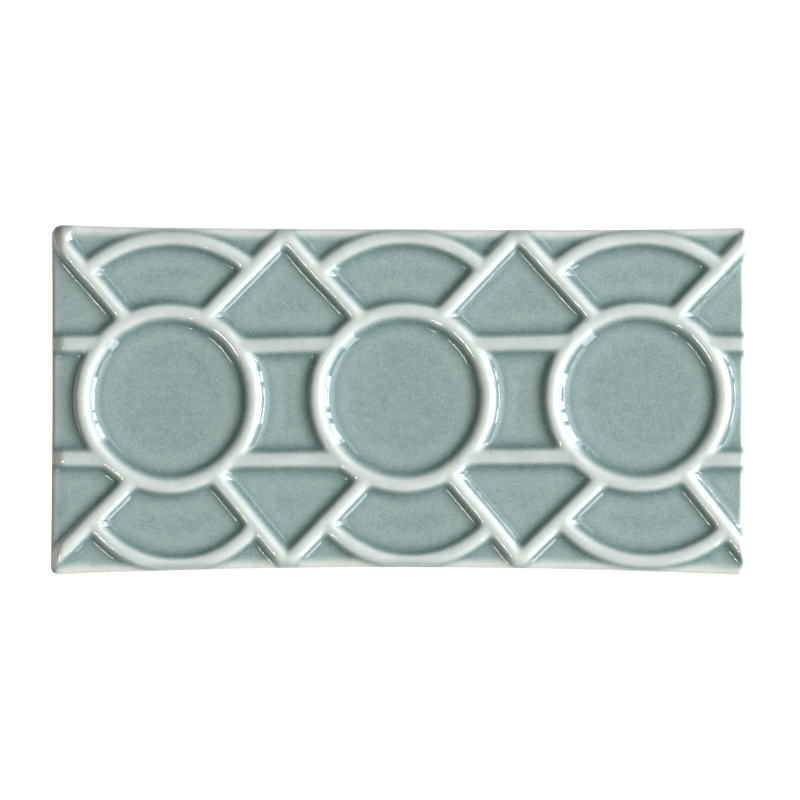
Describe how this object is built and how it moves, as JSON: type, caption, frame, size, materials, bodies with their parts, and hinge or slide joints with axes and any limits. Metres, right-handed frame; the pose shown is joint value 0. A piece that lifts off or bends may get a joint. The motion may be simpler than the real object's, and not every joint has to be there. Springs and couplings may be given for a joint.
{
  "type": "relief decor tile",
  "caption": "Oblong glazed decor tile with a raised fret of rings, bars, diagonals and arcs over plain sunk panels.",
  "frame": {"origin": "centre of the flat back, on the floor, under the middle of the outline", "axes": "+Z out of the glazed face, +X along the length, +Y across the width towards the side whose arcs stand closest to the edge over the first ring"},
  "size_m": [0.1526, 0.077, 0.0095],
  "materials": {
    "glaze": "gloss"
  },
  "bodies": {
    "root": {"decor_tile": "glaze"}
  },
  "joints": []
}
